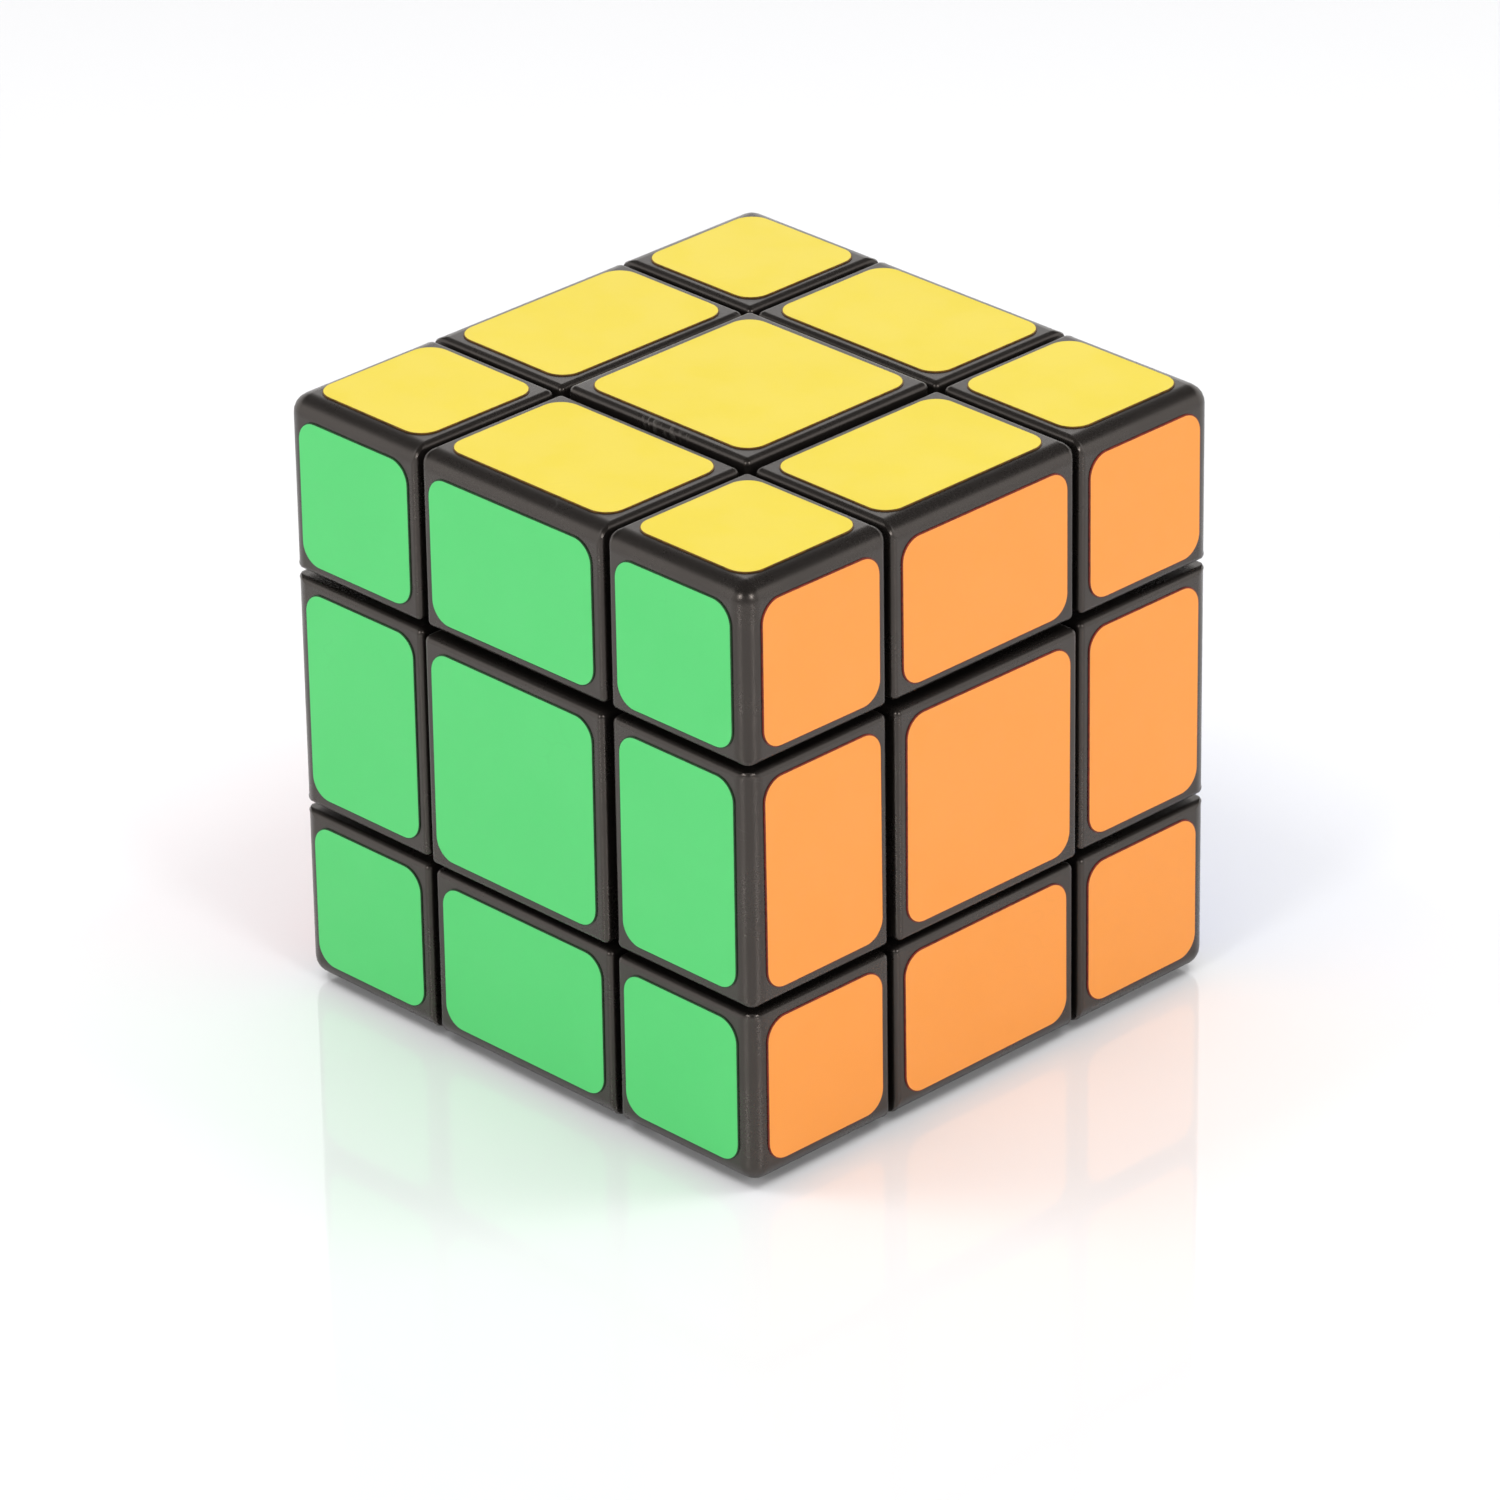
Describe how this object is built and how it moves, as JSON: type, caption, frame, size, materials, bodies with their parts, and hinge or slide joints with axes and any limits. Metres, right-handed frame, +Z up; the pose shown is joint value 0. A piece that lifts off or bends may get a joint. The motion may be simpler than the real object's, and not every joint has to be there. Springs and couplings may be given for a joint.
{
  "type": "twisty puzzle cube",
  "caption": "Three-layer twisty puzzle cube with wide middle layers: interlocking corners, edges and spring-loaded centres turn in layers about a six-armed core.",
  "frame": {"origin": "the cube's centre, where the axes of all six turning layers meet", "axes": "+Z up through the top centre, +X through the right centre, -Y through the front centre"},
  "size_m": [0.0578, 0.0578, 0.0578],
  "materials": {
    "black_plastic": "satin moulded ABS",
    "core_plastic": "semi-matte moulded plastic",
    "screw_steel": "zinc-plated steel",
    "spring_steel": "bright spring steel"
  },
  "bodies": {
    "core_and_screws": {"core": "core_plastic", "top_screw": "screw_steel", "bottom_screw": "screw_steel", "front_screw": "screw_steel", "back_screw": "screw_steel", "right_screw": "screw_steel", "left_screw": "screw_steel"},
    "top_layer_centre": {"top_centre": "black_plastic", "top_centre_cap": "black_plastic", "top_spring": "spring_steel", "top_washer": "spring_steel"},
    "bottom_layer_centre": {"bottom_centre": "black_plastic", "bottom_centre_cap": "black_plastic", "bottom_spring": "spring_steel", "bottom_washer": "spring_steel"},
    "front_layer_centre": {"front_centre": "black_plastic", "front_centre_cap": "black_plastic", "front_spring": "spring_steel", "front_washer": "spring_steel"},
    "back_layer_centre": {"back_centre": "black_plastic", "back_centre_cap": "black_plastic", "back_spring": "spring_steel", "back_washer": "spring_steel"},
    "right_layer_centre": {"right_centre": "black_plastic", "right_centre_cap": "black_plastic", "right_spring": "spring_steel", "right_washer": "spring_steel"},
    "left_layer_centre": {"left_centre": "black_plastic", "left_centre_cap": "black_plastic", "left_spring": "spring_steel", "left_washer": "spring_steel"},
    "edge_top_front": {"edge_top_front": "black_plastic"},
    "edge_top_back": {"edge_top_back": "black_plastic"},
    "edge_bottom_front": {"edge_bottom_front": "black_plastic"},
    "edge_bottom_back": {"edge_bottom_back": "black_plastic"},
    "edge_right_top": {"edge_right_top": "black_plastic"},
    "edge_right_bottom": {"edge_right_bottom": "black_plastic"},
    "edge_left_top": {"edge_left_top": "black_plastic"},
    "edge_left_bottom": {"edge_left_bottom": "black_plastic"},
    "edge_front_right": {"edge_front_right": "black_plastic"},
    "edge_front_left": {"edge_front_left": "black_plastic"},
    "edge_back_right": {"edge_back_right": "black_plastic"},
    "edge_back_left": {"edge_back_left": "black_plastic"},
    "corner_top_front_right": {"corner_top_front_right_shell": "black_plastic", "corner_top_front_right_foot": "black_plastic"},
    "corner_top_front_left": {"corner_top_front_left_shell": "black_plastic", "corner_top_front_left_foot": "black_plastic"},
    "corner_top_back_right": {"corner_top_back_right_shell": "black_plastic", "corner_top_back_right_foot": "black_plastic"},
    "corner_top_back_left": {"corner_top_back_left_shell": "black_plastic", "corner_top_back_left_foot": "black_plastic"},
    "corner_bottom_front_right": {"corner_bottom_front_right_shell": "black_plastic", "corner_bottom_front_right_foot": "black_plastic"},
    "corner_bottom_front_left": {"corner_bottom_front_left_shell": "black_plastic", "corner_bottom_front_left_foot": "black_plastic"},
    "corner_bottom_back_right": {"corner_bottom_back_right_shell": "black_plastic", "corner_bottom_back_right_foot": "black_plastic"},
    "corner_bottom_back_left": {"corner_bottom_back_left_shell": "black_plastic", "corner_bottom_back_left_foot": "black_plastic"}
  },
  "joints": [
    {"name": "turn_top", "type": "hinge", "parent": "core_and_screws", "child": "top_layer_centre", "pos_m": [0, 0, 0], "axis": [0, 0, 1], "continuous": true},
    {"name": "turn_bottom", "type": "hinge", "parent": "core_and_screws", "child": "bottom_layer_centre", "pos_m": [0, 0, 0], "axis": [0, 0, 1], "continuous": true},
    {"name": "turn_front", "type": "hinge", "parent": "core_and_screws", "child": "front_layer_centre", "pos_m": [0, 0, 0], "axis": [0, 1, 0], "continuous": true},
    {"name": "turn_back", "type": "hinge", "parent": "core_and_screws", "child": "back_layer_centre", "pos_m": [0, 0, 0], "axis": [0, 1, 0], "continuous": true},
    {"name": "turn_right", "type": "hinge", "parent": "core_and_screws", "child": "right_layer_centre", "pos_m": [0, 0, 0], "axis": [1, 0, 0], "continuous": true},
    {"name": "turn_left", "type": "hinge", "parent": "core_and_screws", "child": "left_layer_centre", "pos_m": [0, 0, 0], "axis": [1, 0, 0], "continuous": true},
    {"name": "edge_top_front_with_front", "type": "hinge", "parent": "top_layer_centre", "child": "edge_top_front", "pos_m": [0, 0, 0], "axis": [0, 1, 0], "continuous": true},
    {"name": "edge_top_back_with_back", "type": "hinge", "parent": "top_layer_centre", "child": "edge_top_back", "pos_m": [0, 0, 0], "axis": [0, 1, 0], "continuous": true},
    {"name": "edge_bottom_front_with_front", "type": "hinge", "parent": "bottom_layer_centre", "child": "edge_bottom_front", "pos_m": [0, 0, 0], "axis": [0, 1, 0], "continuous": true},
    {"name": "edge_bottom_back_with_back", "type": "hinge", "parent": "bottom_layer_centre", "child": "edge_bottom_back", "pos_m": [0, 0, 0], "axis": [0, 1, 0], "continuous": true},
    {"name": "edge_right_top_with_top", "type": "hinge", "parent": "right_layer_centre", "child": "edge_right_top", "pos_m": [0, 0, 0], "axis": [0, 0, 1], "continuous": true},
    {"name": "edge_right_bottom_with_bottom", "type": "hinge", "parent": "right_layer_centre", "child": "edge_right_bottom", "pos_m": [0, 0, 0], "axis": [0, 0, 1], "continuous": true},
    {"name": "edge_left_top_with_top", "type": "hinge", "parent": "left_layer_centre", "child": "edge_left_top", "pos_m": [0, 0, 0], "axis": [0, 0, 1], "continuous": true},
    {"name": "edge_left_bottom_with_bottom", "type": "hinge", "parent": "left_layer_centre", "child": "edge_left_bottom", "pos_m": [0, 0, 0], "axis": [0, 0, 1], "continuous": true},
    {"name": "edge_front_right_with_right", "type": "hinge", "parent": "front_layer_centre", "child": "edge_front_right", "pos_m": [0, 0, 0], "axis": [1, 0, 0], "continuous": true},
    {"name": "edge_front_left_with_left", "type": "hinge", "parent": "front_layer_centre", "child": "edge_front_left", "pos_m": [0, 0, 0], "axis": [1, 0, 0], "continuous": true},
    {"name": "edge_back_right_with_right", "type": "hinge", "parent": "back_layer_centre", "child": "edge_back_right", "pos_m": [0, 0, 0], "axis": [1, 0, 0], "continuous": true},
    {"name": "edge_back_left_with_left", "type": "hinge", "parent": "back_layer_centre", "child": "edge_back_left", "pos_m": [0, 0, 0], "axis": [1, 0, 0], "continuous": true},
    {"name": "corner_top_front_right_with_right", "type": "hinge", "parent": "edge_top_front", "child": "corner_top_front_right", "pos_m": [0, 0, 0], "axis": [1, 0, 0], "continuous": true},
    {"name": "corner_top_front_left_with_left", "type": "hinge", "parent": "edge_top_front", "child": "corner_top_front_left", "pos_m": [0, 0, 0], "axis": [1, 0, 0], "continuous": true},
    {"name": "corner_top_back_right_with_right", "type": "hinge", "parent": "edge_top_back", "child": "corner_top_back_right", "pos_m": [0, 0, 0], "axis": [1, 0, 0], "continuous": true},
    {"name": "corner_top_back_left_with_left", "type": "hinge", "parent": "edge_top_back", "child": "corner_top_back_left", "pos_m": [0, 0, 0], "axis": [1, 0, 0], "continuous": true},
    {"name": "corner_bottom_front_right_with_right", "type": "hinge", "parent": "edge_bottom_front", "child": "corner_bottom_front_right", "pos_m": [0, 0, 0], "axis": [1, 0, 0], "continuous": true},
    {"name": "corner_bottom_front_left_with_left", "type": "hinge", "parent": "edge_bottom_front", "child": "corner_bottom_front_left", "pos_m": [0, 0, 0], "axis": [1, 0, 0], "continuous": true},
    {"name": "corner_bottom_back_right_with_right", "type": "hinge", "parent": "edge_bottom_back", "child": "corner_bottom_back_right", "pos_m": [0, 0, 0], "axis": [1, 0, 0], "continuous": true},
    {"name": "corner_bottom_back_left_with_left", "type": "hinge", "parent": "edge_bottom_back", "child": "corner_bottom_back_left", "pos_m": [0, 0, 0], "axis": [1, 0, 0], "continuous": true}
  ],
  "couplings": [
    {"joint": "edge_top_front_with_front", "follows": "turn_front", "ratio": 1},
    {"joint": "edge_top_back_with_back", "follows": "turn_back", "ratio": 1},
    {"joint": "edge_bottom_front_with_front", "follows": "turn_front", "ratio": 1},
    {"joint": "edge_bottom_back_with_back", "follows": "turn_back", "ratio": 1},
    {"joint": "edge_right_top_with_top", "follows": "turn_top", "ratio": 1},
    {"joint": "edge_right_bottom_with_bottom", "follows": "turn_bottom", "ratio": 1},
    {"joint": "edge_left_top_with_top", "follows": "turn_top", "ratio": 1},
    {"joint": "edge_left_bottom_with_bottom", "follows": "turn_bottom", "ratio": 1},
    {"joint": "edge_front_right_with_right", "follows": "turn_right", "ratio": 1},
    {"joint": "edge_front_left_with_left", "follows": "turn_left", "ratio": 1},
    {"joint": "edge_back_right_with_right", "follows": "turn_right", "ratio": 1},
    {"joint": "edge_back_left_with_left", "follows": "turn_left", "ratio": 1},
    {"joint": "corner_top_front_right_with_right", "follows": "turn_right", "ratio": 1},
    {"joint": "corner_top_front_left_with_left", "follows": "turn_left", "ratio": 1},
    {"joint": "corner_top_back_right_with_right", "follows": "turn_right", "ratio": 1},
    {"joint": "corner_top_back_left_with_left", "follows": "turn_left", "ratio": 1},
    {"joint": "corner_bottom_front_right_with_right", "follows": "turn_right", "ratio": 1},
    {"joint": "corner_bottom_front_left_with_left", "follows": "turn_left", "ratio": 1},
    {"joint": "corner_bottom_back_right_with_right", "follows": "turn_right", "ratio": 1},
    {"joint": "corner_bottom_back_left_with_left", "follows": "turn_left", "ratio": 1}
  ]
}
